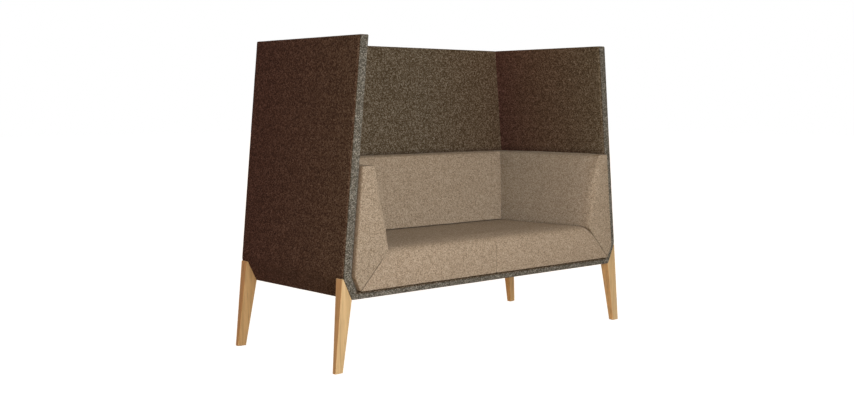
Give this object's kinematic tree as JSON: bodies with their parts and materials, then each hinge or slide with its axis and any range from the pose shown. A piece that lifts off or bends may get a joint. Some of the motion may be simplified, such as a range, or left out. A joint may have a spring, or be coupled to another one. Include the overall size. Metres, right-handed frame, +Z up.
{
  "type": "two-seat acoustic high back sofa",
  "caption": "High back sofa with a folded felt shell on three sides, padded seat, arms and back, and splayed tapered oak legs.",
  "frame": {"origin": "centre of the bounding box, on the floor", "axes": "+X to the right seen from the front, +Y to the back, +Z up"},
  "size_m": [1.6636, 0.7219, 1.2699],
  "materials": {
    "dark_felt": "dark brown melange wool felt",
    "edge_felt": "grey speckled felt",
    "beige_fabric": "beige melange wool upholstery",
    "oak": "clear lacquered oak",
    "plywood": "bare birch plywood",
    "foam": "upholstery foam",
    "webbing": "black elastic webbing",
    "zinced_steel": "zinc plated",
    "black_plastic": "matt"
  },
  "bodies": {
    "root": {"left_outer_skin": "dark_felt", "right_outer_skin": "dark_felt", "left_inner_skin": "dark_felt", "right_inner_skin": "dark_felt", "back_outer_skin": "dark_felt", "back_inner_skin": "dark_felt", "base_outer_skin": "dark_felt", "left_edge_band": "edge_felt", "right_edge_band": "edge_felt", "base_edge_band": "edge_felt", "left_side_board": "plywood", "right_side_board": "plywood", "left_corner_board": "plywood", "right_corner_board": "plywood", "back_board": "plywood", "base_board": "plywood", "left_arm_board": "plywood", "left_arm_foam": "foam", "left_arm_cover": "beige_fabric", "right_arm_board": "plywood", "right_arm_foam": "foam", "right_arm_cover": "beige_fabric", "back_pad_board": "plywood", "back_pad_foam": "foam", "back_pad_cover": "beige_fabric", "seat_cover": "beige_fabric", "seat_foam": "foam", "seat_webbing": "webbing", "front_rail": "plywood", "rear_rail": "plywood", "left_rail": "plywood", "right_rail": "plywood", "centre_rail": "plywood", "front_left_leg": "oak", "front_left_leg_plate": "zinced_steel", "front_left_leg_upper_bolt": "zinced_steel", "front_left_leg_lower_bolt": "zinced_steel", "front_left_glide": "black_plastic", "front_right_leg": "oak", "front_right_leg_plate": "zinced_steel", "front_right_leg_upper_bolt": "zinced_steel", "front_right_leg_lower_bolt": "zinced_steel", "front_right_glide": "black_plastic", "rear_left_leg": "oak", "rear_left_leg_plate": "zinced_steel", "rear_left_leg_upper_bolt": "zinced_steel", "rear_left_leg_lower_bolt": "zinced_steel", "rear_left_glide": "black_plastic", "rear_right_leg": "oak", "rear_right_leg_plate": "zinced_steel", "rear_right_leg_upper_bolt": "zinced_steel", "rear_right_leg_lower_bolt": "zinced_steel", "rear_right_glide": "black_plastic"}
  },
  "joints": []
}
